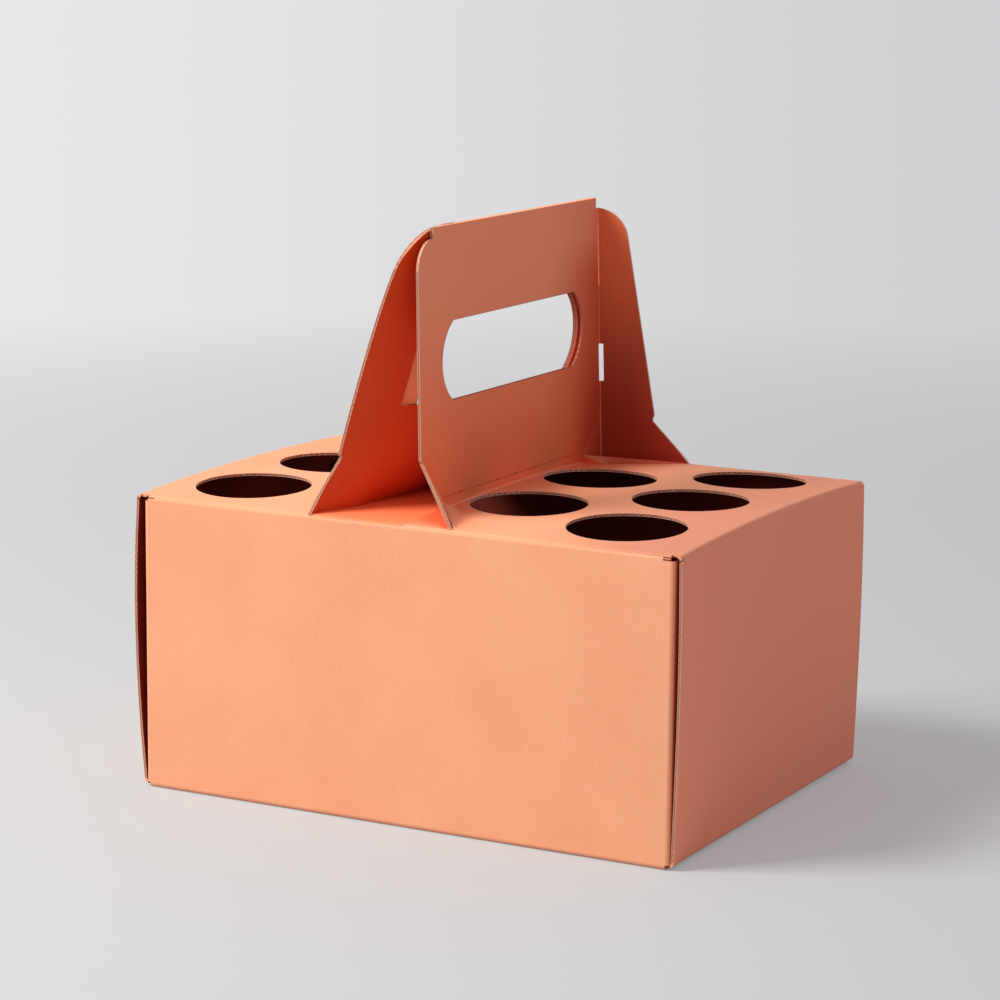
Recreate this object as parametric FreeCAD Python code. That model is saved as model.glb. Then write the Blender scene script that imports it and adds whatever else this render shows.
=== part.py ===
# Cardboard cup carrier: an arched, folded box with eight cup holes and a tall carrying handle.
# Millimetres, +Z up, +X along the length, origin at the middle of the base.

import math
import os

import FreeCAD
import Part

# Board
BOARD = 1.6              # thickness of the corrugated board
FOLD = 3.0               # outer radius of a folded corner

# Box
LENGTH = 350.0           # along X, over the front and back panels
DEPTH = 268.0            # along Y, over the front and back panels
HEIGHT = 179.0           # up to the straight top folds at the front and back
ARCH_RISE = 4.0          # how far the top bows up above those folds

# End panels, which spring out a little, and the flaps behind them
RIGHT_OUT = 3.7          # right panel at its fullest, beyond the front panel's corner
RIGHT_TOP_OUT = 3.2      # the same at its top fold
LEFT_OUT = 7.2           # left panel at its fullest
LEFT_TOP_OUT = 5.2       # the same at its top fold
FOOT_OUT = 1.4           # either panel at its foot
FULL_Z = 132.0           # height where they are fullest
KNEE_Z = 52.0            # height below which they turn in to the foot
KNEE_SHARE = 0.75        # share of their fullest reached there
FLAP_GAP = 0.4           # air between the foot of an end panel and the flaps behind it
FLAP_REACH = 46.0        # how far a side flap runs behind the end panel
FLAP_TOP_CLEAR = 9.0     # side flap below the top fold
END_INSET = 1.6          # raw edge of an end panel, back from the front panel
END_FLAP = 96.0          # length of the end flap inside the base
SEAM_GAP = 1.5           # gap where the two base flaps meet

# Cup holes
HOLE_D = 70.6            # hole for a cup
ROW_PITCH = 86.0         # spacing of three holes in a row across the depth
OUTER_X = 120.5          # right-hand outer row
OUTER_SHIFT = 3.0        # that row's middle hole, in Y
INNER_X = 42.0           # right-hand inner row
INNER_PITCH = 94.0       # spacing of its two holes
INNER_SHIFT = -6.0       # middle of that row, in Y
LEFT_X = 129.0           # left-hand row, distance from the middle
LEFT_MIDDLE_X = 123.0    # its middle hole stands a little nearer the handle

# Handle
TOP_Z = 346.5            # top fold of the handle
WALL_X = 5.0             # right face of the upright handle wall
CREASE_RISE = 5.0        # base crease above the top of the box
CREASE_HALF = 92.0       # half length of the base crease
FOOT_FILLET = 1.4        # inner radius where the wall turns into the box top
STRIP_HALF = 104.0       # half length of the top fold
STRIP_DROP = 6.5         # wings start this far below the top fold
WING_Y = 121.0           # raw front edge of the wall
WING_TURN = 17.0         # radius of a wing's shoulder
NOTCH_Z = 212.0          # notch where a wing turns into its foot
NOTCH_Y = 114.5          # raw edge at that notch
NOTCH_STEP = 1.6         # the edge steps in this far at each notch
TIP_DROP = 0.7           # the front tips reach this far down over the front fold
TIP_RIGHT = 36.0         # where the right-hand foot meets the front fold
TIP_BACK = 61.0          # where the back wing's foot meets the back fold
SCORE_DEPTH = 0.5
SCORE_WIDTH = 0.8
NICK = 2.4               # length of the nicks along the base crease
NICK_STEP = 23.0

# Leaning double layer of the handle
LEAN_TIP = 60.0          # its front tip, left of the middle
LEAN_BASE = 46.0         # its foot further back, left of the middle
LEAN_TIP_RUN = 32.0      # length over which the tip swings out from that foot
LEAN_FOOT_Z = 174.0      # height where that foot enters the box top
LEAN_FRONT_BEND = 0.74   # 1 is straight, less leaves the wall sooner: at the front edge
LEAN_BACK_BEND = 7.0     # more stays by the wall longer: along the grip
LEAN_GRIP_SLANT = 0.03   # how fast the layer parts from the wall along the grip
LEAN_SETTLE = 64.0       # behind the front edge, where it has settled against the wall
LEAN_NOTCH_Y = 122.0     # its raw front edge at the notch
LEAN_TURN = 24.0         # radius of its front shoulder
LINING_INSET = 17.0      # outer layer stops short of the inner one at the front
LINING_HOLE_INSET = 24.0  # its hand hole is this much shorter at the front
LEAN_HOLE_DROP = 4.0     # behind the front end, their hand holes reach this much lower
HOLE_DROP_RUN = 34.0     # length over which they do
GUSSET_BITE = 0.5        # how deep the front gusset sits in the edge of the wall
LEAN_RUNS = (-134.0, -127.0, -121.0, -112.0, -102.0, -92.0, -80.0, -68.0, -50.0, 0.0, 134.0)
LEAN_LEVELS = 7          # levels that carry the lean from foot to top

# Hand hole
HAND_LOW = 244.0
HAND_HIGH = 291.0
HAND_HALF = 77.0         # half length of its straight edges
HAND_BULGE = 13.0        # how far its rounded ends reach past them
HAND_MIDDLE = -2.0       # its middle, in Y

# Back wing
HINGE_TOP = 106.0        # Y of the wing's crease at the top of the wing
HINGE_FOOT = 117.0       # the same at the foot
BACK_TURN = 20.0         # radius of its shoulder
BACK_SHOULDER = 18.0     # reach of the wing at its shoulder
BACK_NOTCH = 36.0        # reach at its notch
BACK_NOTCH_Z = 206.0
SLOT_LOW = 230.0         # see-through slot in the wing's crease
SLOT_HIGH = 254.0
SLOT_WIDTH = 2.2
SLOT_DEPTH = 4.5         # how far the slot reaches back round the crease
SLIT_LOW = 291.0         # open slit above the crease
SLIT_WIDTH = 0.9

LEAN_ACROSS = BOARD * math.hypot(1, LEAN_BASE / (TOP_Z - LEAN_FOOT_Z))  # board measured level
MIDDLE_X = (LEFT_OUT - RIGHT_OUT) / 2  # brings the middle of the whole to X 0
FLAP_FACE = LENGTH / 2 + FOOT_OUT - BOARD - FLAP_GAP  # outer face of the side flaps
ARCH_RADIUS = (DEPTH / 2) ** 2 / (2 * ARCH_RISE) + ARCH_RISE / 2
ARCH_AXIS_Z = HEIGHT + ARCH_RISE - ARCH_RADIUS
CREST = HEIGHT + ARCH_RISE
LIMIT = 2 * LENGTH


def vec(x, y, z):
    return FreeCAD.Vector(x, y, z)


def block(x0, x1, y0, y1, z0, z1):
    return Part.makeBox(x1 - x0, y1 - y0, z1 - z0, vec(x0, y0, z0))


def crest_at(y, drop=0.0):
    """Height of the arched top's outer face, or of a level below it."""
    return ARCH_AXIS_Z + math.sqrt((ARCH_RADIUS - drop) ** 2 - y ** 2)


def rounded(corners):
    """Closed wire through (point, radius) corners, each corner turned by a tangent arc."""
    count = len(corners)
    starts, arcs = [], []
    for i, (point, radius) in enumerate(corners):
        back = (corners[i - 1][0] - point).normalize()
        ahead = (corners[(i + 1) % count][0] - point).normalize()
        half = back.getAngle(ahead) / 2
        if radius:
            reach = radius / math.tan(half)
            middle = point + (back + ahead).normalize() * (radius / math.sin(half) - radius)
            starts.append((point + back * reach, middle, point + ahead * reach))
        else:
            starts.append((point, None, point))
    for i, (enter, middle, leave) in enumerate(starts):
        if middle is not None:
            arcs.append(Part.Arc(enter, middle, leave).toShape())
        following = starts[(i + 1) % count][0]
        if leave.distanceToPoint(following) > 1e-6:
            arcs.append(Part.LineSegment(leave, following).toShape())
    return Part.Wire(arcs)


def side_prism(corners, x0, x1):
    """Solid from a (y, z, radius) outline, between two places along X."""
    wire = rounded([(vec(x0, y, z), r) for y, z, r in corners])
    return Part.Face(wire).extrude(vec(x1 - x0, 0, 0))


def wrap_wire(inside, x):
    """Outer or inner line of the front, top, back and base as one band round the X axis."""
    half = DEPTH / 2 - inside
    turn = FOLD - inside
    arch = ARCH_RADIUS - inside
    hub_y = half - turn
    hub_z = ARCH_AXIS_Z + math.sqrt((arch - turn) ** 2 - hub_y ** 2)
    lean = math.atan2(hub_y, hub_z - ARCH_AXIS_Z)
    mid = (lean + math.pi / 2) / 2
    low = inside

    def point(y, z):
        return vec(x, y, z)

    edges = []
    for side in (1, -1):
        top = point(side * (hub_y + turn * math.sin(lean)), hub_z + turn * math.cos(lean))
        middle = point(side * (hub_y + turn * math.sin(mid)), hub_z + turn * math.cos(mid))
        wall_top = point(side * half, hub_z)
        wall_low = point(side * half, low + turn)
        foot_mid = point(side * (half - turn * (1 - math.sqrt(0.5))), low + turn * (1 - math.sqrt(0.5)))
        foot = point(side * hub_y, low)
        run = [
            Part.Arc(top, middle, wall_top).toShape(),
            Part.LineSegment(wall_top, wall_low).toShape(),
            Part.Arc(wall_low, foot_mid, foot).toShape(),
        ]
        edges.extend(run)
        if side == 1:
            right_top, right_foot = top, foot
        else:
            edges.append(Part.Arc(right_top, point(0, ARCH_AXIS_Z + arch), top).toShape())
            edges.append(Part.LineSegment(right_foot, foot).toShape())
    return Part.Wire(Part.__sortEdges__(edges))


def wrap():
    """Front, top, back and base flaps: one band, open at both ends."""
    reach = FLAP_FACE - FOLD
    outer = Part.Face(wrap_wire(0.0, -reach)).extrude(vec(2 * reach, 0, 0))
    inner = Part.Face(wrap_wire(BOARD, -LIMIT)).extrude(vec(2 * LIMIT, 0, 0))
    seam = block(-reach, reach, -SEAM_GAP / 2, SEAM_GAP / 2, -BOARD, 2 * BOARD)
    return outer.cut(inner).cut(seam)


def side_flaps():
    """The four flaps that turn round the upright corners and run behind the end panels."""
    face = FLAP_FACE
    low = 2 * BOARD + FOLD
    high = HEIGHT - FOLD
    pieces = []
    for sx in (1, -1):
        for sy in (1, -1):
            hub = vec(sx * (face - FOLD), sy * (DEPTH / 2 - FOLD), 0)
            turn = 0 if (sx, sy) == (1, 1) else 90 if (sx, sy) == (-1, 1) else 180 if sx == -1 else 270
            ring = Part.makeCylinder(FOLD, high - FOLD, vec(0, 0, FOLD), vec(0, 0, 1), 90)
            ring = ring.cut(Part.makeCylinder(FOLD - BOARD, high, vec(0, 0, 0)))
            ring.rotate(vec(0, 0, 0), vec(0, 0, 1), turn)
            ring.translate(hub)
            xs = sorted((sx * face, sx * (face - BOARD)))
            ys = sorted((hub.y, sy * (DEPTH / 2 - FLAP_REACH)))
            flap = block(xs[0], xs[1], ys[0], ys[1], low, high - FLAP_TOP_CLEAR)
            root = sorted((hub.y, hub.y - sy * 2 * BOARD))
            tab = block(xs[0], xs[1], root[0], root[1], FOLD, high)
            pieces += [ring, flap, tab]
    return pieces


def end_plate(side, full, top):
    """The sprung sheet of an end panel: its outer line in the XZ plane, given the board and the depth."""
    foot_z = BOARD + FOLD
    shoulder_z = HEIGHT - 2 * FOLD
    line = [(FOOT_OUT, foot_z), (full * KNEE_SHARE, KNEE_Z), (full, FULL_Z), (top, shoulder_z)]
    curves = []
    for inside in (0.0, BOARD):
        points = [vec(side * (LENGTH / 2 + out - inside), -DEPTH, z) for out, z in line]
        curve = Part.BSplineCurve()
        curve.interpolate(points)
        curves.append((curve.toShape(), points[0], points[-1]))
    (outer, outer_foot, outer_top), (inner, inner_foot, inner_top) = curves
    rise = vec(0, 0, CREST - shoulder_z)
    wire = Part.Wire([
        outer, Part.LineSegment(outer_top, outer_top + rise).toShape(),
        Part.LineSegment(outer_top + rise, inner_top + rise).toShape(),
        Part.LineSegment(inner_top + rise, inner_top).toShape(), inner,
        Part.LineSegment(inner_foot, outer_foot).toShape()])
    return Part.Face(wire).extrude(vec(0, 2 * DEPTH, 0))


def end_panels():
    """End panels hung from the arched fold, with their base flaps tucked inside."""
    half = DEPTH / 2 - END_INSET
    swing = math.degrees(math.asin(half / ARCH_RADIUS))
    axis = vec(0, 0, ARCH_AXIS_Z)
    foot_z = BOARD + FOLD
    pieces = []
    for side, full, top in ((1, RIGHT_OUT, RIGHT_TOP_OUT), (-1, LEFT_OUT, LEFT_TOP_OUT)):
        hub_x = side * (LENGTH / 2 + top - FOLD)
        ring = fold_section(hub_x, CREST - FOLD, FOLD, BOARD, side, 1)
        ring.rotate(axis, vec(1, 0, 0), -swing)
        pieces.append(ring.revolve(axis, vec(1, 0, 0), 2 * swing))
        plate = end_plate(side, full, top).common(block(-LENGTH, LENGTH, -half, half, 0, CREST))
        below = Part.makeCylinder(ARCH_RADIUS - FOLD, 2 * LENGTH, vec(-LENGTH, 0, ARCH_AXIS_Z), vec(1, 0, 0))
        pieces.append(plate.common(below))
        foot_x = side * (LENGTH / 2 + FOOT_OUT - FOLD)
        foot = fold_section(foot_x, foot_z, FOLD, BOARD, side, -1)
        foot.translate(vec(0, -half, 0))
        pieces.append(foot.extrude(vec(0, 2 * half, 0)))
        inner_half = DEPTH / 2 - BOARD - FOLD
        xs = sorted((foot_x, foot_x - side * END_FLAP))
        pieces.append(block(xs[0], xs[1], -inner_half, inner_half, BOARD, 2 * BOARD))
        xs = sorted((hub_x, side * (FLAP_FACE - FOLD)))
        lip_half = DEPTH / 2 - FOLD
        lip = block(xs[0], xs[1], -lip_half, lip_half, CREST - 3 * ARCH_RISE, CREST)
        pieces.append(lip.common(arch_plate()))
    return pieces


def fold_section(x, z, outer, thick, side, way):
    """Quarter ring in the XZ plane that turns from level to upright."""
    inner = outer - thick
    root = math.sqrt(0.5)

    def at(radius, across, up):
        return vec(x + side * radius * across, 0, z + way * radius * up)

    return Part.Face(Part.Wire([
        Part.Arc(at(outer, 0, 1), at(outer, root, root), at(outer, 1, 0)).toShape(),
        Part.LineSegment(at(outer, 1, 0), at(inner, 1, 0)).toShape(),
        Part.Arc(at(inner, 1, 0), at(inner, root, root), at(inner, 0, 1)).toShape(),
        Part.LineSegment(at(inner, 0, 1), at(outer, 0, 1)).toShape(),
    ]))


def arch_plate():
    """The arched top as a long band, from which smaller pieces are taken."""
    start = vec(-LENGTH, 0, ARCH_AXIS_Z)
    outer = Part.makeCylinder(ARCH_RADIUS, 2 * LENGTH, start, vec(1, 0, 0))
    inner = Part.makeCylinder(ARCH_RADIUS - BOARD, 2 * LENGTH, start, vec(1, 0, 0))
    return outer.cut(inner)


def cup_spots():
    """Centres of the eight cup holes."""
    spots = []
    for step in (-1, 0, 1):
        y = OUTER_SHIFT + step * ROW_PITCH
        spots.append((OUTER_X, y))
        spots.append((-LEFT_X if step else -LEFT_MIDDLE_X, y))
    for step in (-0.5, 0.5):
        spots.append((INNER_X, INNER_SHIFT + step * INNER_PITCH))
    return spots


def cup_cutters():
    low = HEIGHT - 3 * FOLD
    return [Part.makeCylinder(HOLE_D / 2, CREST + FOLD - low, vec(x, y, low)) for x, y in cup_spots()]


def hand_hole(front_cut=0.0, drop=0.0):
    """Cutter for the hand hole: straight long edges and bowed ends, the lower edge dropping behind its front."""
    front = HAND_MIDDLE - HAND_HALF + front_cut
    back = HAND_MIDDLE + HAND_HALF
    low = HAND_LOW - drop
    middle = (HAND_LOW + HAND_HIGH) / 2
    low_front, high_front = vec(-LIMIT, front, HAND_LOW), vec(-LIMIT, front, HAND_HIGH)
    low_back, high_back = vec(-LIMIT, back, low), vec(-LIMIT, back, HAND_HIGH)
    low_line = [low_front, low_back]
    if drop:
        low_line.insert(1, vec(-LIMIT, HAND_MIDDLE - HAND_HALF + HOLE_DROP_RUN, low))
    edges = [Part.LineSegment(a, b).toShape() for a, b in zip(low_line, low_line[1:])]
    wire = Part.Wire(edges + [
        Part.Arc(low_back, vec(-LIMIT, back + HAND_BULGE, middle), high_back).toShape(),
        Part.LineSegment(high_back, high_front).toShape(),
        Part.Arc(high_front, vec(-LIMIT, front - HAND_BULGE, middle), low_front).toShape(),
    ])
    return Part.Face(wire).extrude(vec(2 * LIMIT, 0, 0))


def upright_wall():
    """Right-hand layer of the handle, from its base crease to the top fold."""
    crease_z = CREST + CREASE_RISE
    wing_top = TOP_Z - STRIP_DROP
    outline = [
        (-CREASE_HALF, CREST - BOARD, 0), (CREASE_HALF, CREST - BOARD, 0), (CREASE_HALF, crease_z, 0),
        (HINGE_FOOT - 2 * BOARD, NOTCH_Z, 0), (HINGE_TOP, wing_top, 0), (STRIP_HALF, wing_top, 0),
        (STRIP_HALF, TOP_Z, 0), (-STRIP_HALF, TOP_Z, 0), (-STRIP_HALF, wing_top, 0),
        (-WING_Y, wing_top, WING_TURN), (-NOTCH_Y - NOTCH_STEP, NOTCH_Z + NOTCH_STEP, 0),
        (-NOTCH_Y, NOTCH_Z, 0), (-CREASE_HALF, crease_z, 0)]
    wall = side_prism(outline, WALL_X - BOARD, WALL_X)
    lower = side_prism(
        [(CREASE_HALF, CREST - BOARD, 0), (HINGE_FOOT, CREST - 2 * BOARD, 0),
         (HINGE_TOP, wing_top, 0), (STRIP_HALF, wing_top, 0), (CREASE_HALF, NOTCH_Z, 0)],
        WALL_X - BOARD, WALL_X - SCORE_DEPTH)
    return [wall, lower]


def base_fold():
    """Curved foot of the upright wall, following the arch."""
    swing = math.degrees(math.asin(CREASE_HALF / ARCH_RADIUS))
    axis = vec(0, 0, ARCH_AXIS_Z)
    section = fold_section(WALL_X + FOOT_FILLET, CREST + FOOT_FILLET, FOOT_FILLET + BOARD, BOARD, -1, -1)
    section.rotate(axis, vec(1, 0, 0), -swing)
    return section.revolve(axis, vec(1, 0, 0), 2 * swing)


def ramp(way, tip_x):
    """Raised flank of the box top that runs from the end of the base crease to a corner tip."""
    y0 = way * (CREASE_HALF - BOARD)
    y1 = way * (DEPTH / 2 - FOLD)
    top0 = crest_at(y0)
    top1 = crest_at(y1)
    near = [
        vec(WALL_X - BOARD, y0, top0 - BOARD / 2), vec(WALL_X - BOARD, y0, top0 + CREASE_RISE),
        vec(WALL_X, y0, top0 + CREASE_RISE), vec(WALL_X + 3 * CREASE_RISE, y0, top0 - BOARD / 2)]
    far = [
        vec(tip_x - BOARD, y1, top1 - BOARD / 2), vec(tip_x - BOARD, y1, top1 + BOARD / 4),
        vec(tip_x, y1, top1 + BOARD / 4), vec(tip_x + BOARD, y1, top1 - BOARD / 2)]
    wires = [Part.makePolygon(points + [points[0]]) for points in (near, far)]
    return Part.makeLoft(wires, True, True)


def front_gusset():
    """Triangle of board between the wall's front notch, its base crease and the front tip."""
    notch = vec(WALL_X, -NOTCH_Y, NOTCH_Z)
    crease = vec(WALL_X, -CREASE_HALF, CREST + CREASE_RISE)
    tip = vec(TIP_RIGHT, -DEPTH / 2 + FOLD - 1.2 * BOARD, HEIGHT - 1.2 * BOARD)
    inward = (tip - notch).cross(crease - notch).normalize()
    if inward.x > 0:
        inward = inward * -1
    bite = inward.cross(crease - notch).normalize() * GUSSET_BITE
    if bite.x > 0:
        bite = bite * -1
    outline = [notch, notch + bite, crease + bite, crease, tip, notch]
    return Part.Face(Part.makePolygon(outline)).extrude(inward * BOARD)


def back_wing():
    """Wing folded out at the back end of the upright wall, with its long foot."""
    reach = math.hypot(TIP_BACK - WALL_X, DEPTH / 2 - FOLD - HINGE_FOOT)
    turn = math.degrees(math.atan2(DEPTH / 2 - FOLD - HINGE_FOOT, TIP_BACK - WALL_X))
    wing_top = TOP_Z - STRIP_DROP
    lean = (HINGE_FOOT - HINGE_TOP) / (wing_top - CREST)

    def corner(across, z, radius=0.0):
        return (vec(across, 0, z), radius)

    outline = rounded([
        corner(0, HEIGHT), corner(reach, HEIGHT), corner(BACK_NOTCH - NOTCH_STEP, BACK_NOTCH_Z),
        corner(BACK_NOTCH, BACK_NOTCH_Z + 2 * NOTCH_STEP),
        corner(BACK_SHOULDER, wing_top, BACK_TURN), corner(0, wing_top)])
    wing = Part.Face(outline).extrude(vec(0, BOARD, 0))
    wing.rotate(vec(0, 0, 0), vec(0, 0, 1), turn)
    wing.translate(vec(WALL_X - BOARD, HINGE_FOOT, 0))
    sheared = FreeCAD.Matrix()
    sheared.A23 = -lean
    sheared.A24 = lean * CREST
    wing = wing.transformGeometry(sheared)
    return wing


def eased(share):
    """0 to 1 with a soft start and end."""
    share = min(max(share, 0.0), 1.0)
    return share * share * (3 - 2 * share)


def lean_x(y, z):
    """Right face of the leaning layer: straight at its front edge, close to the wall along the grip."""
    foot = LEAN_TIP + (LEAN_BASE - LEAN_TIP) * eased((y + DEPTH / 2) / LEAN_TIP_RUN)
    drop = TOP_Z - z
    rise = drop / (TOP_Z - LEAN_FOOT_Z)
    start = WALL_X - BOARD / 2
    at_front = start - (foot + start) * rise ** LEAN_FRONT_BEND
    settled = start - LEAN_GRIP_SLANT * drop - (foot + start) * rise ** LEAN_BACK_BEND
    return at_front + (settled - at_front) * eased((y + WING_Y) / LEAN_SETTLE)


def lean_sheet(offset):
    """The curved sheet of the leaning side, moved to the left by an offset."""
    shares = [k / (LEAN_LEVELS - 1) for k in range(LEAN_LEVELS)]
    levels = [LEAN_FOOT_Z + (TOP_Z - LEAN_FOOT_Z) * share for share in shares]
    wires = []
    for y in LEAN_RUNS:
        right = [vec(lean_x(y, z) - offset, y, z) for z in levels]
        left = [vec(p.x - LEAN_ACROSS, y, p.z) for p in right]
        curves = []
        for points in (right, left):
            curve = Part.BSplineCurve()
            curve.interpolate(points)
            curves.append(curve.toShape())
        wires.append(Part.Wire([
            curves[0], Part.LineSegment(right[-1], left[-1]).toShape(),
            curves[1], Part.LineSegment(left[0], right[0]).toShape()]))
    return Part.makeLoft(wires, True, True)


def leaning_side():
    """Inner and outer layers of the leaning side."""
    tip = -DEPTH / 2 + TIP_DROP
    back = [(STRIP_HALF, TOP_Z, 0), (STRIP_HALF, NOTCH_Z, 0), (CREASE_HALF, CREST, 0), (CREASE_HALF, CREST - BOARD, 0)]
    inner_outline = [
        (tip, HEIGHT - TIP_DROP, 0), (-LEAN_NOTCH_Y + NOTCH_STEP, NOTCH_Z, 0),
        (-LEAN_NOTCH_Y, NOTCH_Z + NOTCH_STEP, 0), (-WING_Y, TOP_Z, LEAN_TURN)] + back + [(tip + FOLD / 2, HEIGHT - FOLD, 0), (tip + TIP_DROP, HEIGHT - 0.9 * FOLD, 0)]
    inner = lean_sheet(0.0).common(side_prism(inner_outline, -LIMIT, LIMIT))
    inner = inner.cut(hand_hole(0.0, LEAN_HOLE_DROP))
    front = -WING_Y + LINING_INSET
    outer_outline = [(-CREASE_HALF, CREST - BOARD, 0), (front, NOTCH_Z, 0), (front, TOP_Z, WING_TURN)] + back
    outer = lean_sheet(BOARD).common(side_prism(outer_outline, -LIMIT, LIMIT))
    outer = outer.cut(hand_hole(LINING_HOLE_INSET, LEAN_HOLE_DROP))
    return [inner, outer]


def crease_cutters():
    """Score line and nicks along the base crease, slot and slit at the back wing's crease."""
    z = CREST + CREASE_RISE
    half = CREASE_HALF - BOARD
    cuts = [block(WALL_X - SCORE_DEPTH, WALL_X + BOARD, -half, half, z, z + SCORE_WIDTH)]
    count = int(2 * CREASE_HALF / NICK_STEP)
    for k in range(1, count):
        y = -CREASE_HALF + k * NICK_STEP
        cuts.append(block(WALL_X - 2 * BOARD, WALL_X + BOARD, y, y + NICK, z, z + SCORE_WIDTH))

    def hinge_y(height):
        return HINGE_FOOT - (HINGE_FOOT - HINGE_TOP) * (height - CREST) / (TOP_Z - STRIP_DROP - CREST)

    for low, high, depth, width in (
            (SLOT_LOW, SLOT_HIGH, SLOT_DEPTH, SLOT_WIDTH),
            (SLIT_LOW, TOP_Z - STRIP_DROP, SLIT_WIDTH, SLIT_WIDTH)):
        a, b = hinge_y(low), hinge_y(high)
        outline = [(a - width / 2, low, 0), (a + depth, low, 0), (b + depth, high, 0), (b - width / 2, high, 0)]
        cuts.append(side_prism(outline, WALL_X - 2 * BOARD, WALL_X + width))
    return cuts


def carrier():
    """The whole folded carrier as one solid."""
    box = wrap().multiFuse(side_flaps() + end_panels())
    box = box.cut(Part.makeCompound(cup_cutters()))
    hole = hand_hole()
    wall = [piece.cut(hole) for piece in upright_wall()]
    layers = wall + [base_fold(), ramp(-1, TIP_RIGHT), ramp(1, TIP_BACK), front_gusset(), back_wing()]
    whole = box.multiFuse(layers + leaning_side())
    whole = whole.cut(Part.makeCompound(crease_cutters())).removeSplitter()
    whole.translate(vec(MIDDLE_X, 0, 0))
    return whole


if __name__ == "__main__":
    os.makedirs("parts", exist_ok=True)
    shape = carrier()
    print("solids", len(shape.Solids), "valid", shape.isValid(), "volume", round(shape.Volume))
    box = shape.BoundBox
    print("box", box.XMin, box.XMax, box.YMin, box.YMax, box.ZMin, box.ZMax)
    shape.exportStep("parts/cup_carrier.step")
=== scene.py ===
import math

import bpy
from mathutils import Matrix, Vector
from mathutils.bvhtree import BVHTree


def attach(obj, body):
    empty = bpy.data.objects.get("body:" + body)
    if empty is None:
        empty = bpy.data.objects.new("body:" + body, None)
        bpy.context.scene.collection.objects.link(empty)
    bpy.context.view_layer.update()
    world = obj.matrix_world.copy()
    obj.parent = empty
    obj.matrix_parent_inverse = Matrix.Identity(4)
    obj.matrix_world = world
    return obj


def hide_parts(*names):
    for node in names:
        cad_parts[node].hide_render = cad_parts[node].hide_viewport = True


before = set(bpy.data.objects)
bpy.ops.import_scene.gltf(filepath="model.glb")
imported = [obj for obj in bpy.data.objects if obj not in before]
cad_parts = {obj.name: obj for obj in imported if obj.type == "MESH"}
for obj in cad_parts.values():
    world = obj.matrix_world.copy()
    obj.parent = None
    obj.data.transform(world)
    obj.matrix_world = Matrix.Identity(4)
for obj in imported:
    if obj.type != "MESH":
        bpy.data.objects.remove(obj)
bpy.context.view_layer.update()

# The carrier's own sizes, in millimetres, as its solids have them

MM = 0.001
MERGE = 0.01             # points nearer than this are one
SMOOTH_BELOW = math.radians(36)
NEAR = 0.3               # a spot within this of a plane counts as lying on it
BOARD = 1.6
LENGTH = 350.0
DEPTH = 268.0
HEIGHT = 179.0
ARCH_RISE = 4.0
CREST = HEIGHT + ARCH_RISE
ARCH_RADIUS = (DEPTH / 2) ** 2 / (2 * ARCH_RISE) + ARCH_RISE / 2
ARCH_AXIS_Z = CREST - ARCH_RADIUS
FOLD = 3.0
END_INSET = 1.6
MIDDLE_X = 1.75          # the solids stand this far right, so that X 0 is the middle of the whole

HOLE_D = 70.6
ROW_PITCH = 86.0
OUTER_X = 120.5
OUTER_SHIFT = 3.0
INNER_X = 42.0
INNER_PITCH = 94.0
INNER_SHIFT = -6.0
LEFT_X = 129.0
LEFT_MIDDLE_X = 123.0

TOP_Z = 346.5
WALL_X = 5.0
WALL_BACK = WALL_X - BOARD
CREASE_Z = CREST + 5.0
CREASE_HALF = 92.0
STRIP_HALF = 104.0
WING_TOP = TOP_Z - 6.5
WING_Y = 121.0
WING_TURN = 17.0
NOTCH_Z = 212.0
NOTCH_Y = 114.5
NOTCH_STEP = 1.6
TIP_DROP = 0.7
TIP_RIGHT = 36.0
TIP_BACK = 61.0

LEAN_TIP = 60.0
LEAN_BASE = 46.0
LEAN_TIP_RUN = 32.0
LEAN_FOOT_Z = 174.0
LEAN_FRONT_BEND = 0.74
LEAN_BACK_BEND = 7.0
LEAN_GRIP_SLANT = 0.03
LEAN_SETTLE = 64.0
LEAN_NOTCH_Y = 122.0
LEAN_TURN = 24.0
LEAN_ACROSS = BOARD * math.hypot(1, LEAN_BASE / (TOP_Z - LEAN_FOOT_Z))
LINING_INSET = 17.0
LINING_HOLE_INSET = 24.0
LEAN_HOLE_DROP = 4.0
HOLE_DROP_RUN = 34.0
LEAN_HOLE_LOW = 240.6    # lower edge of the leaning layers' holes at the front
LEAN_HOLE_HIGH = 283.0   # the inner layer's hole is lengthened up to here
LEAN_HOLE_FRONT = -122.6  # Y of its slanted front end, carried down to Z 0
LEAN_HOLE_SLANT = 0.111
LINING_HOLE_FRONT = -86.3  # Y of the outer layer's
LINING_HOLE_HIGH = 278.0

HAND_LOW = 244.0
HAND_HIGH = 291.0
HAND_HALF = 77.0
HAND_BULGE = 13.0
HAND_MIDDLE = -2.0

HINGE_TOP = 106.0
HINGE_FOOT = 117.0
BACK_TURN = 20.0
BACK_SHOULDER = 18.0
BACK_NOTCH = 36.0
BACK_NOTCH_Z = 206.0

# The board's make-up where it is cut

FLUTE_PITCH = 3.3
LINER = 0.22             # thickness of a liner
FLUTE_PAPER = 0.2        # thickness of the waved paper between them
PROUD = 0.28             # the papers stand this far out of the cut
FLUTE_STEP = 0.45        # spacing of points along the waved paper
LINER_STEP = 2.0         # the same along a liner
TURN_STEP = 4.0          # the same round a corner
BOW_STEPS = 14           # points round the end of a hand hole, less one
CORE_LIFT = 0.03         # the shaded core stands this far off the cut


# Surfaces that the cut edges follow

def crest_at(y):
    """Height of the arched top."""
    return ARCH_AXIS_Z + math.sqrt(ARCH_RADIUS ** 2 - y ** 2)


def eased(share):
    """0 to 1 with a soft start and end."""
    share = min(max(share, 0.0), 1.0)
    return share * share * (3 - 2 * share)


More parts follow.
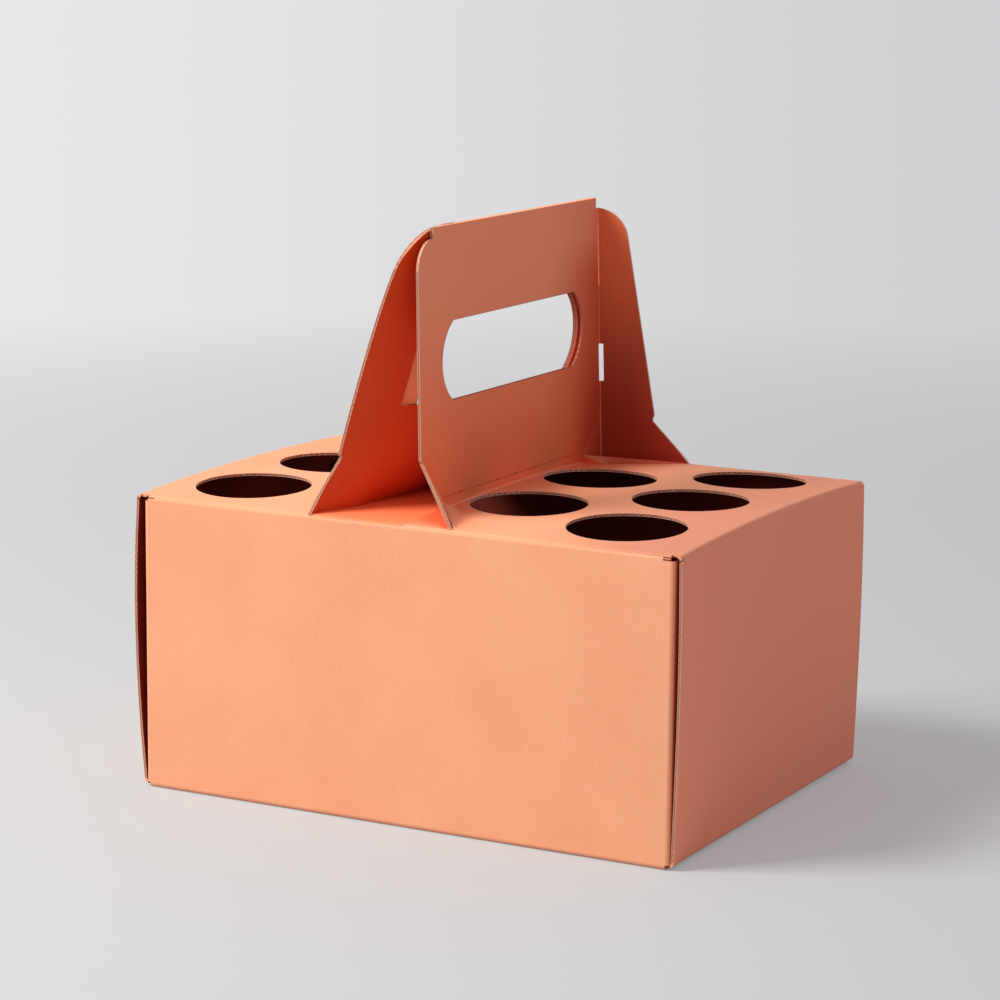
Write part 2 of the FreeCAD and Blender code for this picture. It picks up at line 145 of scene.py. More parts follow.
def lean_x(y, z):
    """Right face of the leaning side."""
    foot = LEAN_TIP + (LEAN_BASE - LEAN_TIP) * eased((y + DEPTH / 2) / LEAN_TIP_RUN)
    drop = max(TOP_Z - z, 0.0)
    rise = drop / (TOP_Z - LEAN_FOOT_Z)
    start = WALL_X - BOARD / 2
    at_front = start - (foot + start) * rise ** LEAN_FRONT_BEND
    settled = start - LEAN_GRIP_SLANT * drop - (foot + start) * rise ** LEAN_BACK_BEND
    return at_front + (settled - at_front) * eased((y + WING_Y) / LEAN_SETTLE)


def lean_hole_front(z):
    """Slanted front end of the inner layer's hole, for a height or for an Amount."""
    return z * LEAN_HOLE_SLANT + LEAN_HOLE_FRONT


# Each of these takes two coordinates along its sheet and a depth in the board, and gives a place in mm

def on_wall(u, v, w):
    return Vector((MIDDLE_X + WALL_BACK + w, u, v))


def on_leaning(u, v, w):
    return Vector((MIDDLE_X + lean_x(u, v) + (w / BOARD - 1) * LEAN_ACROSS, u, v))


def on_lining(u, v, w):
    return on_leaning(u, v, w) - Vector((BOARD, 0, 0))


def reach(side, y, z):
    """How far the solid reaches along X on one side, in millimetres."""
    felt = skin.ray_cast(Vector((side, y * MM, z * MM)), Vector((-side, 0, 0)))
    return abs(felt[0].x) / MM


def on_end(side):
    """An end panel, felt for from outside just behind its raw edge."""
    def place(u, v, w):
        felt = reach(side, math.copysign(DEPTH / 2 - 2 * END_INSET, u), v)
        return Vector((side * (felt + w - BOARD), u, v))
    return place


def on_top(u, v, w):
    return Vector((MIDDLE_X + u, v, crest_at(v) - BOARD + w))


GUSSET_FROM = Vector((WALL_X, -NOTCH_Y, NOTCH_Z))
GUSSET_CREASE = Vector((WALL_X, -CREASE_HALF, CREASE_Z))
GUSSET_TIP = Vector((TIP_RIGHT, -DEPTH / 2 + FOLD - 1.2 * BOARD, HEIGHT - 1.2 * BOARD))
GUSSET_ALONG = (GUSSET_TIP - GUSSET_FROM).normalized()
GUSSET_FACE = (GUSSET_CREASE - GUSSET_FROM).cross(GUSSET_TIP - GUSSET_FROM).normalized()
if GUSSET_FACE.x < 0:
    GUSSET_FACE = -GUSSET_FACE
GUSSET_OUT = GUSSET_ALONG.cross(GUSSET_FACE)
if GUSSET_OUT.dot(GUSSET_CREASE - GUSSET_FROM) > 0:
    GUSSET_OUT = -GUSSET_OUT


def on_gusset(u, v, w):
    spot = GUSSET_FROM + GUSSET_ALONG * u + GUSSET_OUT * v + GUSSET_FACE * (w - BOARD)
    return spot + Vector((MIDDLE_X, 0, 0))


WING_TURN_Z = math.atan2(DEPTH / 2 - FOLD - HINGE_FOOT, TIP_BACK - WALL_X)
WING_REACH = math.hypot(TIP_BACK - WALL_X, DEPTH / 2 - FOLD - HINGE_FOOT)
HINGE_LEAN = (HINGE_FOOT - HINGE_TOP) / (WING_TOP - CREST)


def on_wing(u, v, w):
    across = Matrix.Rotation(WING_TURN_Z, 3, "Z") @ Vector((u, w, 0))
    y = HINGE_FOOT + across.y - HINGE_LEAN * (v - CREST)
    return Vector((MIDDLE_X + WALL_BACK + across.x, y, v))


# Lines that the cut edges run along

def turned(corners):
    """Points along a line through (u, v, radius) corners, with an arc at each corner that has a radius."""
    points = []
    for i, (u, v, radius) in enumerate(corners):
        here = Vector((u, v))
        if not radius or i in (0, len(corners) - 1):
            points.append(here)
            continue
        back = (Vector(corners[i - 1][:2]) - here).normalized()
        ahead = (Vector(corners[i + 1][:2]) - here).normalized()
        half = back.angle(ahead) / 2
        hub = here + (back + ahead).normalized() * (radius / math.sin(half))
        first = here + back * (radius / math.tan(half)) - hub
        sweep = first.angle_signed(here + ahead * (radius / math.tan(half)) - hub)
        count = max(4, int(abs(sweep) * radius / TURN_STEP))
        for k in range(count + 1):
            points.append(hub + Matrix.Rotation(-sweep * k / count, 2) @ first)
    return points


def ring(u, v, radius):
    """Points round a circle, first and last the same."""
    count = int(2 * math.pi * radius / LINER_STEP)
    return [Vector((u + radius * math.cos(2 * math.pi * k / count),
                    v + radius * math.sin(2 * math.pi * k / count))) for k in range(count + 1)]


def hand_hole(front_inset=0.0, drop=0.0):
    """Points round a hand hole, first and last the same."""
    front = HAND_MIDDLE - HAND_HALF + front_inset
    back = HAND_MIDDLE + HAND_HALF
    middle = (HAND_HIGH + HAND_LOW) / 2
    low_back = HAND_LOW - drop

    def bow(y, low, bulge):
        """The bowed end through (y, low), (y + bulge, middle) and (y, high)."""
        a, b, c = Vector((y, low)), Vector((y + bulge, middle)), Vector((y, HAND_HIGH))
        hub = through(a, b, c)
        radius = (a - hub).length
        first, last = (math.atan2(p.y - hub.y, p.x - hub.x) for p in (a, c))
        if bulge < 0:
            first, last = first % (2 * math.pi), last % (2 * math.pi)
        return [hub + radius * Vector((math.cos(turn), math.sin(turn)))
                for turn in (first + (last - first) * k / BOW_STEPS for k in range(BOW_STEPS + 1))]

    points = bow(back, low_back, HAND_BULGE) + bow(front, HAND_LOW, -HAND_BULGE)[::-1]
    if drop:
        points.append(Vector((HAND_MIDDLE - HAND_HALF + HOLE_DROP_RUN, low_back)))
    points.append(points[0].copy())
    return points


def through(a, b, c):
    """Centre of the circle through three points."""
    first, second = (a + b) / 2, (b + c) / 2
    first_axis, second_axis = (b - a).orthogonal(), (c - b).orthogonal()
    return first + first_axis * ((second - first).cross(second_axis) / first_axis.cross(second_axis))


def spaced(points, step):
    """The same line with points at an even spacing, each with its direction."""
    lengths = [0.0]
    for a, b in zip(points, points[1:]):
        lengths.append(lengths[-1] + (b - a).length)
    count = max(2, int(lengths[-1] / step))
    found = []
    piece = 0
    for k in range(count + 1):
        along = lengths[-1] * k / count
        while piece < len(points) - 2 and lengths[piece + 1] < along:
            piece += 1
        a, b = points[piece], points[piece + 1]
        share = (along - lengths[piece]) / max((b - a).length, 1e-9)
        found.append((a.lerp(b, share), (b - a).normalized()))
    return found


# Modelling

def free():
    """Object mode with nothing selected."""
    if bpy.context.object and bpy.context.object.mode != "OBJECT":
        bpy.ops.object.mode_set(mode="OBJECT")
    bpy.ops.object.select_all(action="DESELECT")


def pick(pieces):
    """Selects the pieces and makes the first one active."""
    free()
    for piece in pieces:
        piece.select_set(True)
    bpy.context.view_layer.objects.active = pieces[0]


def merged(pieces):
    """The pieces joined into the first."""
    pick(pieces)
    if len(pieces) > 1:
        bpy.ops.object.join()
    return bpy.context.object


def grid(name, columns, rows, place):
    """A flat grid laid out anew: place takes two shares, 0 to 1, and gives a point in millimetres."""
    free()
    bpy.ops.mesh.primitive_grid_add(x_subdivisions=columns, y_subdivisions=rows, size=2)
    sheet = bpy.context.object
    sheet.name = name
    for vertex in sheet.data.vertices:
        vertex.co = place((vertex.co.x + 1) / 2, (vertex.co.y + 1) / 2) * MM
    return sheet


def thicken(sheet, thickness, offset):
    """Gives a sheet its thickness: offset 0 to both sides, -1 inwards."""
    paper = sheet.modifiers.new("paper", "SOLIDIFY")
    paper.thickness = thickness * MM
    paper.offset = offset
    bpy.ops.object.modifier_apply(modifier=paper.name)


def strip_along(name, line, place, side, section):
    """A strip along a line: section takes a point and a rim of the strip, and gives its reach and depth."""
    count = len(line) - 1

    def laid(along, over):
        point, direction = line[round(along * count)]
        out, depth = section(point, over > 0.5)
        spot = point + Vector((direction.y, -direction.x)) * side * out
        return place(spot.x, spot.y, depth)

    return grid(name, count, 1, laid)


def cut_edge(name, points, place, side, flute_axis):
    """Liners, waved paper and a core painted as shade along a cut through the board."""
    fine = spaced(points, FLUTE_STEP)
    coarse = spaced(points, LINER_STEP)
    wave = BOARD / 2 - LINER - FLUTE_PAPER / 2

    def inner_liner(point, outer):
        return PROUD * outer, LINER / 2

    def outer_liner(point, outer):
        return PROUD * outer, BOARD - LINER / 2

    def waved(point, outer):
        return PROUD * 0.9 * outer, BOARD / 2 + wave * math.sin(2 * math.pi * point[flute_axis] / FLUTE_PITCH)

    def core(point, outer):
        return CORE_LIFT, BOARD - LINER if outer else LINER

    papers = []
    for line, section, thickness in (
            (coarse, inner_liner, LINER), (coarse, outer_liner, LINER), (fine, waved, FLUTE_PAPER)):
        paper = strip_along(name, line, place, side, section)
        thicken(paper, thickness, 0)
        paper.data.materials.append(paper_edge)
        papers.append(paper)
    # the core is a flat sheet painted as the shade between the waves
    shaded = strip_along(name + "_core", coarse, place, side, core)
    shaded.data.materials.append(flute_shade)
    return merged(papers + [shaded])


def deepened(cutter, depth):
    """Turns a flat outline into a closed cutter, depth millimetres along X."""
    pick([cutter])
    bpy.ops.object.mode_set(mode="EDIT")
    bpy.ops.mesh.select_all(action="SELECT")
    bpy.ops.mesh.extrude_region_move(TRANSFORM_OT_translate={"value": (depth * MM, 0, 0)})
    bpy.ops.mesh.select_all(action="SELECT")
    bpy.ops.mesh.normals_make_consistent(inside=False)
    bpy.ops.object.mode_set(mode="OBJECT")
    return cutter


def prism(name, outline, low, high):
    """A cutter along X from an outline of (y, z) points."""
    free()
    bpy.ops.mesh.primitive_circle_add(vertices=len(outline), radius=1, fill_type="NGON")
    cutter = bpy.context.object
    cutter.name = name
    for vertex, (y, z) in zip(cutter.data.vertices, outline):
        vertex.co = Vector((low, y, z)) * MM
    return deepened(cutter, high - low)


def pocket(name, low, high, front, back):
    """A cutter that takes the inner layer alone between two heights and leaves the layer behind it."""
    levels = 14
    skin_left = 0.06

    def laid(rising, along):
        z = low + (high - low) * rising
        return on_leaning(front(z) + (back - front(z)) * along, z, skin_left)

    return deepened(grid(name, levels, 2, laid), 4 * BOARD)


def carved(name, node, cutters):
    """A merged copy of the solid with the cutters taken out."""
    body = node.copy()
    body.data = node.data.copy()
    bpy.context.scene.collection.objects.link(body)
    body.name = name
    body.data.name = name
    pick([body])
    bpy.ops.object.mode_set(mode="EDIT")
    bpy.ops.mesh.select_all(action="SELECT")
    bpy.ops.mesh.remove_doubles(threshold=MERGE * MM)
    bpy.ops.object.mode_set(mode="OBJECT")
    for cutter in cutters:
        cut = body.modifiers.new("cut", "BOOLEAN")
        cut.operation = "DIFFERENCE"
        cut.solver = "EXACT"
        cut.object = cutter
        bpy.ops.object.modifier_apply(modifier=cut.name)
        bpy.data.objects.remove(cutter)
    bpy.ops.mesh.customdata_custom_splitnormals_clear()
    bpy.ops.object.shade_smooth_by_angle(angle=SMOOTH_BELOW)
    flatten = body.modifiers.new("flatten", "WEIGHTED_NORMAL")
    flatten.mode = "FACE_AREA"
    flatten.weight = 100
    flatten.keep_sharp = True
    bpy.ops.object.modifier_apply(modifier=flatten.name)
    return body


def fold_skin(side):
    """The smooth turn from the arched top into an end panel, a hair outside the solid's facets."""
    flat = 0.2               # share of the skin that lies on the top, and on the panel
    top_out, panel_out = 0.08, 0.15
    sunk = 0.1               # its rims dip this far into the solid

    def laid(turn, along):
        y = side * (2 * along - 1) * (DEPTH / 2 - 1.4 * FOLD)
        crest = crest_at(y)
        face = reach(side, y, crest - 1.1 * FOLD)
        if turn < flat:
            ease = turn / flat
            up = crest + (top_out + sunk) * ease - sunk
            return Vector((side * (face - FOLD - (1 - ease) * FOLD), y, up))
        if turn < 1 - flat:
            swing = (turn - flat) / (1 - 2 * flat)
            radius = FOLD + top_out + (panel_out - top_out) * swing
            out = face - FOLD + radius * math.sin(swing * math.pi / 2)
            return Vector((side * out, y, crest - FOLD + radius * math.cos(swing * math.pi / 2)))
        ease = (turn - 1 + flat) / flat
        up = crest - (1.1 + ease) * FOLD
        return Vector((side * (reach(side, y, up) + panel_out - (panel_out + sunk) * ease), y, up))

    sheet = grid("fold_skin", 20, 64, laid)
    thicken(sheet, 0.3, -1)
    sheet.data.materials.append(board)
    return sheet


def joined(name, pieces):
    """Several pieces as one that rides with the carrier."""
    whole = merged(pieces)
    whole.name = name
    whole.data.name = name
    bpy.ops.object.shade_flat()
    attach(whole, "root")
    return whole


# Finishes

class Amount:
    """A number that varies over a surface, so that shader maths reads as plain sums."""

    def __init__(self, finish, socket):
        self.finish = finish
        self.socket = socket

    def made(self, operation, *values):
        """The outcome of one maths node."""
        node = self.finish.node("ShaderNodeMath", {"operation": operation}, dict(enumerate(values)))
        return Amount(self.finish, node.outputs[0])

    def __add__(self, other):
        return self.made("ADD", self, other)

    def __sub__(self, other):
        return self.made("SUBTRACT", self, other)

    def __rsub__(self, other):
        return self.made("SUBTRACT", other, self)

    def __mul__(self, other):
        return self.made("MULTIPLY", self, other)

    def __truediv__(self, other):
        return self.made("DIVIDE", self, other)

    def __gt__(self, other):
        return self.made("GREATER_THAN", self, other)

    def __lt__(self, other):
        return self.made("LESS_THAN", self, other)

    def __abs__(self):
        return self.made("ABSOLUTE", self)

    def least(self, other):
        return self.made("MINIMUM", self, other)

    def most(self, other):
        return self.made("MAXIMUM", self, other)

    def sine(self):
        return self.made("SINE", self)

    def root(self):
        return self.made("SQRT", self)

    def between(self, low, high):
        return (self > low) * (self < high)

    def fade(self, start, end):
        """0 at start and 1 at end, smooth between."""
        node = self.finish.node("ShaderNodeMapRange", {"interpolation_type": "SMOOTHSTEP"},
                                {"Value": self, "From Min": start, "From Max": end})
        return Amount(self.finish, node.outputs["Result"])

    __radd__ = __add__
    __rmul__ = __mul__


class Finish:
    """One material, its shader and the ways to add nodes to it."""

    def __init__(self, name, **constants):
        self.material = bpy.data.materials.new(name)
        self.material.use_nodes = True
        self.tree = self.material.node_tree
        self.shader = self.tree.nodes["Principled BSDF"]
        for socket, value in constants.items():
            self.shader.inputs[socket.replace("_", " ")].default_value = value
        self.place = self.node("ShaderNodeTexCoord").outputs["Object"]

    def node(self, kind, settings=None, inputs=None):
        """A new node, with its settings and what feeds its inputs."""
        made = self.tree.nodes.new(kind)
        for key, value in (settings or {}).items():
            setattr(made, key, value)
        for key, value in (inputs or {}).items():
            self.feed(made.inputs[key], value)
        return made

    def feed(self, socket, value):
        """A number, a colour or another node's output into a socket."""
        if isinstance(value, Amount):
            value = value.socket
        if isinstance(value, bpy.types.NodeSocket):
            self.tree.links.new(value, socket)
        else:
            socket.default_value = value

    def split(self, vector, scale=1.0):
        """The three parts of a vector, each times the scale."""
        node = self.node("ShaderNodeSeparateXYZ", {}, {"Vector": vector})
        return [Amount(self, node.outputs[k]) * scale for k in range(3)]

    def noise(self, scale, detail=3.0, stretch=(1, 1, 1)):
        """Noise from 0 to 1, with about as many grains a metre as the scale."""
        spread = self.node("ShaderNodeMapping", {}, {"Vector": self.place, "Scale": stretch})
        node = self.node("ShaderNodeTexNoise", {}, {
            "Vector": spread.outputs["Vector"], "Scale": scale, "Detail": detail, "Roughness": 0.5})
        return Amount(self, node.outputs["Fac"])

    def blend(self, share, below, above):
        """One colour over another by a share."""
        node = self.node("ShaderNodeMix", {"data_type": "RGBA"}, {"Factor": share})
        for socket, value in zip([s for s in node.inputs if s.type == "RGBA"], (below, above)):
            self.feed(socket, value)
        return [s for s in node.outputs if s.type == "RGBA"][0]

    def shelter(self, reach):
        """How far a spot is closed in by the sheets round it, from 0 to 1."""
        node = self.node("ShaderNodeAmbientOcclusion", {"samples": 8, "only_local": True},
                         {"Distance": reach})
        return 1 - Amount(self, node.outputs["AO"])

    def bump(self, height, distance):
        """Relief of a height from 0 to 1, with its full depth in metres."""
        node = self.node("ShaderNodeBump", {}, {"Height": height, "Distance": distance, "Strength": 1.0})
        self.feed(self.shader.inputs["Normal"], node.outputs["Normal"])


def tone(red, green, blue):
    """A colour given as it shows, from 0 to 255."""
    def linear(value):
        value = value / 255
        return value / 12.92 if value <= 0.04045 else ((value + 0.055) / 1.055) ** 2.4
    return (linear(red), linear(green), linear(blue), 1.0)


def cup_spots():
    """Middles of the cup holes."""
    spots = []
    for step in (-1, 0, 1):
        y = OUTER_SHIFT + step * ROW_PITCH
        spots.append((OUTER_X, y))
        spots.append((-LEFT_X if step else -LEFT_MIDDLE_X, y))
    for step in (-0.5, 0.5):
        spots.append((INNER_X, INNER_SHIFT + step * INNER_PITCH))
    return spots


def printed_board_and_shade():
    """Peach print outside, deep orange-red inside, with fibres and a faint washboard from the flutes, and
    painted shade and reflected light where the folded sheets close round a spot.
    """
    finish = Finish("printed_board_and_shade", IOR=1.3)
    x, y, z = finish.split(finish.place, 1000.0)
    x = x - MIDDLE_X
    nx, ny, nz = finish.split(finish.node("ShaderNodeTexCoord").outputs["Normal"])
    rise = (ARCH_RADIUS ** 2 - y * y).root() + ARCH_AXIS_Z
    handle = z > rise + 0.1

    # Where the inside of the sheet shows, and the print of the outer layer through the inner one's hole,
    # painted lighter than the print as a painted highlight
    through_hole = z.between(LEAN_HOLE_LOW, HAND_HIGH) * (y > lean_hole_front(z)) * (y < -60) * (nx > 0.1)
    left_of_wall = handle * (x < WALL_BACK - NEAR)
    inner_lean = left_of_wall * (nx > 0.2) * (1 - through_hole)
    inner_wall = handle * x.between(WALL_BACK - NEAR, WALL_BACK + NEAR) * (nx < -0.5)
    behind_wing = handle * (x > WALL_X + NEAR) * (y > 100) * (ny > 0.5)
    inside = (inner_lean + inner_wall + behind_wing).least(1.0)

    # The inside of the box, painted dark as shade
    inside_ends = (abs(x) > LENGTH / 2 - 8) * (x * nx < 0) * (z < rise - 1)
    cavity = (abs(x) < LENGTH / 2 - BOARD / 2) * (abs(y) < DEPTH / 2 - BOARD / 2)
    cavity = cavity * (z > BOARD / 2) * (z < rise - BOARD / 2) * (abs(nx) < 0.6)
    shaded_hollow = (cavity + inside_ends).least(1.0)

    # Marks of the sheet
    sideways = abs(nx) > 0.6
    across = x * (1 - sideways) + z * sideways
    wobble = finish.noise(9.0, 2.0) * 2.2
    flutes = ((across + wobble) * (2 * math.pi / FLUTE_PITCH)).sine()
    clouds = finish.noise(16.0, 4.0)
    fibres = finish.noise(700.0, 3.0, (1, 1, 0.35))
    specks = finish.noise(2400.0, 2.0)

    # Painted light and shade on the outside: deeper and redder tones that stand in for the shade of the
    # sheets round a spot and the light they throw on it
    # painted shade: the right end panel takes a deeper, pinker copy of the print, as it lies in shade
    end_panel_shade = nx.fade(0.4, 0.9) * (x > LENGTH / 2 - 4)
    # painted shade: deeper red-orange where the sheets close round a spot
    shade_closed_in = finish.shelter(0.16).fade(0.15, 0.75)
    # painted shade and reflected light: the top between the handle's layers in a redder tone than its print
    lean_foot = y.fade(-102, -DEPTH / 2) * (LEAN_BASE - LEAN_TIP) - LEAN_BASE + 1.0
    shaded_web = (nz > 0.6) * (x > lean_foot) * (x < WALL_BACK) * (y < CREASE_HALF)
    shaded_web = shaded_web * z.between(HEIGHT - 1, CREST + 1)
    # painted shade on the wall's right face: redder toward its foot as painted reflected light from the top,
    # deeper toward the wing
    wall_face_shade = handle * x.between(WALL_X - NEAR, WALL_X + NEAR) * (nx > 0.5)
    wall_shade_tone = finish.blend(z.fade(320, 195), tone(255, 152, 118), tone(255, 124, 78))
    shade_to_wing = y.fade(30, HINGE_TOP + 2) * z.fade(345, 290).most(0.35)
    wall_shade_tone = finish.blend(shade_to_wing * 0.9, wall_shade_tone, tone(208, 76, 44))
    # painted shade on the wing's front face, darkest low down
    wing_face_shade = handle * (x > WALL_X + NEAR) * (y > HINGE_TOP - 4) * (ny < -0.5)
    wing_shade_tone = finish.blend(z.fade(200, 335), tone(154, 38, 20), tone(230, 108, 68))
    # painted shade in the corner where the wall meets the wing, deepest low down
    wall_corner_shade = handle * (x > WALL_BACK + NEAR) * (ny > -0.5) * y.fade(70, HINGE_TOP + 6) * z.fade(270, 190)
    # painted shadow on the top beside the wing's foot
    shadow_by_wing = (nz > 0.5) * y.fade(CREASE_HALF - 6, DEPTH / 2) * (x > WALL_X) * x.fade(90, 20)
    # painted shadow of the handle over the far right of the top
    far_top_shade = (nz > 0.6) * x.fade(70, LENGTH / 2 - 10) * (z < CREST + 1)

    outside = finish.blend(clouds.fade(0.3, 0.7), tone(246, 166, 126), tone(250, 173, 133))
    for share, over in (
            (fibres.fade(0.5, 0.8) * 0.3, tone(252, 190, 158)),
            (specks.fade(0.62, 0.8) * 0.3, tone(226, 148, 112)),
            (flutes.fade(0.2, 1.0) * 0.05, tone(255, 196, 164)),
            (end_panel_shade * 0.9, tone(247, 149, 118)),
            (shade_closed_in * 0.9, tone(232, 88, 44)),
            (shaded_web * 0.75, tone(255, 136, 86)),
            (wall_face_shade * 0.9, wall_shade_tone),
            (wing_face_shade * 0.92, wing_shade_tone),
            (wall_corner_shade * 0.85, tone(176, 54, 30)),
            (shadow_by_wing * 0.75, tone(206, 84, 50)),
            # the outer layer's print through the inner one's hole, lightened as a painted highlight
            (through_hole * left_of_wall, tone(255, 176, 122)),
            (far_top_shade * 0.8, tone(212, 134, 110))):
        outside = finish.blend(share, outside, over)

    deep = finish.blend(clouds.fade(0.3, 0.7), tone(216, 76, 34), tone(226, 86, 42))
    deep = finish.blend(fibres.fade(0.55, 0.8) * 0.3, deep, tone(190, 56, 26))
    colour = finish.blend(inside, outside, deep)
    # painted shade: the inside of the box far darker than its print
    colour = finish.blend(shaded_hollow, colour, tone(112, 38, 25))
    finish.feed(finish.shader.inputs["Base Color"], colour)
    finish.feed(finish.shader.inputs["Roughness"], 0.52 + clouds * 0.2 + fibres * 0.08)
    finish.bump(flutes * 0.07 + fibres * 0.35 + clouds * 1.2, 0.00007)
    return finish.material


def cut_paper():
    """Pale fibrous paper where the board is cut, darker round the grip, where little light reaches it."""
    finish = Finish("cut_paper", Roughness=0.85, IOR=1.4)
    x, y, z = finish.split(finish.place, 1000.0)
    fibres = finish.noise(1800.0, 3.0)
    grip = (x < WALL_X + 2 * MIDDLE_X) * (abs(y) < HAND_HALF + HAND_BULGE + 2)
    grip = grip * z.between(HAND_LOW - 6, HAND_HIGH + 2)
    colour = finish.blend(fibres.fade(0.3, 0.75), tone(216, 158, 132), tone(236, 192, 170))
    finish.feed(finish.shader.inputs["Base Color"], finish.blend(grip * 0.85, colour, tone(150, 62, 42)))
    finish.bump(fibres, 0.00005)
    return finish.material


def painted_flute_shade():
    """Painted shade: a flat sheet in the cut, coloured as the dim space between the waves."""
    finish = Finish("painted_flute_shade", Roughness=0.95, IOR=1.3)
    grain = finish.noise(1200.0, 2.0)
    finish.feed(finish.shader.inputs["Base Color"],
                finish.blend(grain.fade(0.3, 0.7), tone(166, 96, 74), tone(186, 116, 92)))
    return finish.material


board = printed_board_and_shade()
paper_edge = cut_paper()
flute_shade = painted_flute_shade()

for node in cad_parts.values():
    node.data.materials.clear()
    node.data.materials.append(board)
skin = BVHTree.FromObject(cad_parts["cup_carrier"], bpy.context.evaluated_depsgraph_get())

# Holes of the leaning layers, which reach further forward than the wall's

cut_high = HAND_HIGH - 0.4
through_both = prism("through_both", [
    (LINING_HOLE_FRONT, LEAN_HOLE_LOW), (-44, LEAN_HOLE_LOW), (-44, cut_high), (-78, cut_high),
    (LINING_HOLE_FRONT, LINING_HOLE_HIGH)], -70.0, WALL_BACK + MIDDLE_X - 0.25)
inner_only = pocket("inner_only", LEAN_HOLE_LOW, LEAN_HOLE_HIGH, lean_hole_front, LINING_HOLE_FRONT + 1.0)
body = carved("folded_board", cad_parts["cup_carrier"], [through_both, inner_only])
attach(body, "root")
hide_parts("cup_carrier")

# Cut edges

cup_edges = [cut_edge("cup_edge", ring(x, y, HOLE_D / 2), on_top, -1, 0) for x, y in cup_spots()]
joined("cup_hole_edges", cup_edges)

wall_front = turned([
    (-NOTCH_Y, NOTCH_Z, 0), (-NOTCH_Y - NOTCH_STEP, NOTCH_Z + NOTCH_STEP, 0), (-WING_Y, WING_TOP, WING_TURN),
    (-STRIP_HALF, WING_TOP, 0), (-STRIP_HALF, TOP_Z, 0)])
lean_front = turned([
    (-DEPTH / 2 + TIP_DROP, HEIGHT - TIP_DROP, 0), (-LEAN_NOTCH_Y + NOTCH_STEP, NOTCH_Z, 0),
    (-LEAN_NOTCH_Y, NOTCH_Z + NOTCH_STEP, 0), (-WING_Y, TOP_Z, LEAN_TURN), (-STRIP_HALF + 6, TOP_Z, 0)])
lining_front = turned([
    (-CREASE_HALF, CREST, 0), (-WING_Y + LINING_INSET, NOTCH_Z, 0),
    (-WING_Y + LINING_INSET, TOP_Z, WING_TURN), (-STRIP_HALF + 30, TOP_Z, 0)])
wing_rim = turned([
    (WING_REACH, HEIGHT + 1, 0), (BACK_NOTCH - NOTCH_STEP, BACK_NOTCH_Z, 0),
    (BACK_NOTCH, BACK_NOTCH_Z + 2 * NOTCH_STEP, 0), (BACK_SHOULDER, WING_TOP, BACK_TURN), (1.0, WING_TOP, 0)])
gusset_front = [Vector((0, 0)), Vector(((GUSSET_TIP - GUSSET_FROM).length * 0.95, 0))]
lean_hole = [(-80, LEAN_HOLE_LOW), (-95.6, LEAN_HOLE_LOW), (-91.6, LEAN_HOLE_HIGH - 2)]
lining_hole = [(LINING_HOLE_FRONT, LEAN_HOLE_LOW), (LINING_HOLE_FRONT, LINING_HOLE_HIGH)]
back_end = slice(BOW_STEPS + 1)     # of a hand hole's points
joined("handle_edges", [
    cut_edge("wall_edge", wall_front, on_wall, -1, 1),
    cut_edge("gusset_edge", gusset_front, on_gusset, -1, 0),
    cut_edge("lean_edge", lean_front, on_leaning, -1, 1),
    cut_edge("lining_edge", lining_front, on_lining, -1, 1),
    cut_edge("wing_edge", wing_rim, on_wing, 1, 1),
    cut_edge("wall_hole_edge", hand_hole(), on_wall, -1, 1),
    cut_edge("lean_hole_front_edge", [Vector(spot) for spot in lean_hole], on_leaning, 1, 1),
    cut_edge("lining_hole_front_edge", [Vector(spot) for spot in lining_hole], on_lining, 1, 1),
    cut_edge("lean_hole_edge", hand_hole(0.0, LEAN_HOLE_DROP)[back_end], on_leaning, -1, 1),
    cut_edge("lining_hole_edge", hand_hole(LINING_HOLE_INSET, LEAN_HOLE_DROP)[back_end], on_lining, -1, 1),
])

end_edges = []
for side in (1, -1):
    for end in (1, -1):
        y = end * (DEPTH / 2 - END_INSET)
        rim = [Vector((y, BOARD + FOLD)), Vector((y, crest_at(y) - FOLD))]
        end_edges.append(cut_edge("end_edge", rim, on_end(side), end, 1))
joined("end_panel_edges", end_edges)
pick([joined("end_folds", [fold_skin(1), fold_skin(-1)])])
bpy.ops.object.shade_smooth_by_angle(angle=math.radians(40))

# Floor

free()
bpy.ops.mesh.primitive_plane_add(size=80)
floor = bpy.context.object
floor.name = "floor"
sheet = Finish("floor_paper", Roughness=0.85, IOR=1.35)
across, along, _ = sheet.split(sheet.place)
paper_tone = sheet.blend(sheet.noise(0.4, 2.0), tone(191, 192, 194), tone(195, 196, 198))
sheet.feed(sheet.shader.inputs["Base Color"], paper_tone)
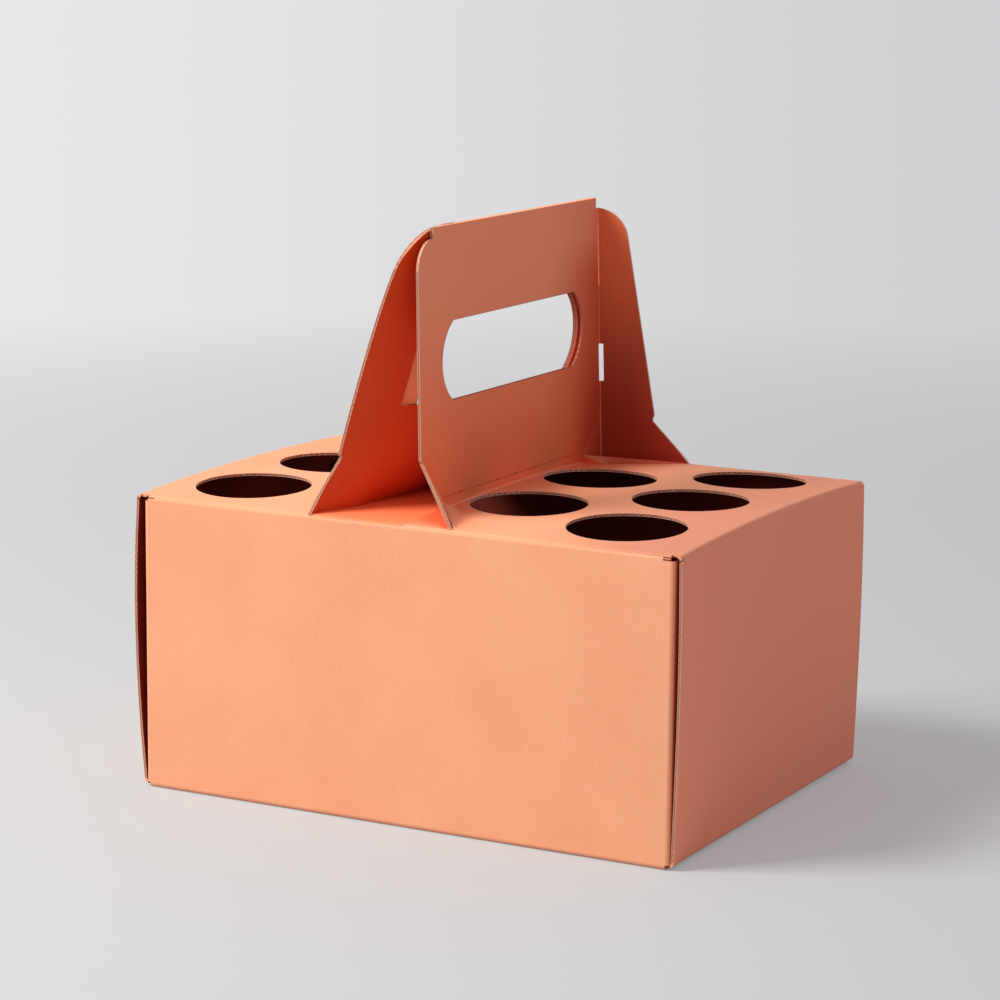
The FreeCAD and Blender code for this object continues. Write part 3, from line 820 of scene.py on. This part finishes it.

# Seen by the camera, it fades into a pale backdrop with the distance, brighter to the left as painted light
path = sheet.node("ShaderNodeLightPath")
seen = (Amount(sheet, path.outputs["Is Camera Ray"]) + Amount(sheet, path.outputs["Is Glossy Ray"])
        + Amount(sheet, path.outputs["Is Transmission Ray"])).least(1.0)
away = (across * across + along * along).root().fade(0.4, 3.0)
aside = (across * 0.88 + along * 0.47) / ((along * 0.87 - across * 0.46) + 2.1).most(1.4)
shade = sheet.blend(aside.fade(-0.2, 0.2), tone(232, 232, 234), tone(207, 207, 210))
glow = sheet.node("ShaderNodeEmission", {}, {"Color": shade, "Strength": 1.0})
veil = sheet.node("ShaderNodeMixShader", {}, {"Fac": seen * (away * 0.9 + 0.32)})
sheet.tree.links.new(sheet.shader.outputs["BSDF"], veil.inputs[1])
sheet.tree.links.new(glow.outputs["Emission"], veil.inputs[2])
sheet.tree.links.new(veil.outputs["Shader"], sheet.tree.nodes["Material Output"].inputs["Surface"])
floor.data.materials.append(sheet.material)

# Light

world = bpy.data.worlds.new("studio")
bpy.context.scene.world = world
world.use_nodes = True
world.node_tree.nodes["Background"].inputs["Color"].default_value = (1.0, 0.945, 0.985, 1.0)
world.node_tree.nodes["Background"].inputs["Strength"].default_value = 0.49


def softbox(name, place, aim, size, power, colour):
    """A square or oblong light of a size in metres, turned to its aim."""
    light = bpy.data.lights.new(name, "AREA")
    light.shape = "RECTANGLE"
    light.size, light.size_y = size
    light.energy = power
    light.color = colour
    holder = bpy.data.objects.new(name, light)
    bpy.context.scene.collection.objects.link(holder)
    holder.location = place
    holder.rotation_mode = "QUATERNION"
    holder.rotation_quaternion = (Vector(aim) - Vector(place)).to_track_quat("-Z", "Y")
    return holder


softbox("key", (-1.4, -1.3, 2.27), (0, 0, 0.12), (1.0, 1.0), 82, (0.985, 1.0, 0.94))

# Camera

eye = bpy.data.cameras.new("camera")
eye.sensor_width = 36
eye.lens = 118.5
eye.clip_end = 200
camera = bpy.data.objects.new("camera", eye)
bpy.context.scene.collection.objects.link(camera)
stand = Vector((0.91665, -1.7337, 0.5450))
forward = Vector((-0.46056, 0.86765, -0.18721))
right = Vector((0.88327, 0.46885, 0.0))
up = right.cross(forward)
roll = math.radians(0.58)
level = right * math.cos(roll) + up * math.sin(roll)
upright = up * math.cos(roll) - right * math.sin(roll)
camera.matrix_world = Matrix((
    (level.x, upright.x, -forward.x, stand.x),
    (level.y, upright.y, -forward.y, stand.y),
    (level.z, upright.z, -forward.z, stand.z),
    (0, 0, 0, 1)))
bpy.context.scene.camera = camera
bpy.context.scene.view_settings.view_transform = "Standard"

bpy.context.view_layer.update()
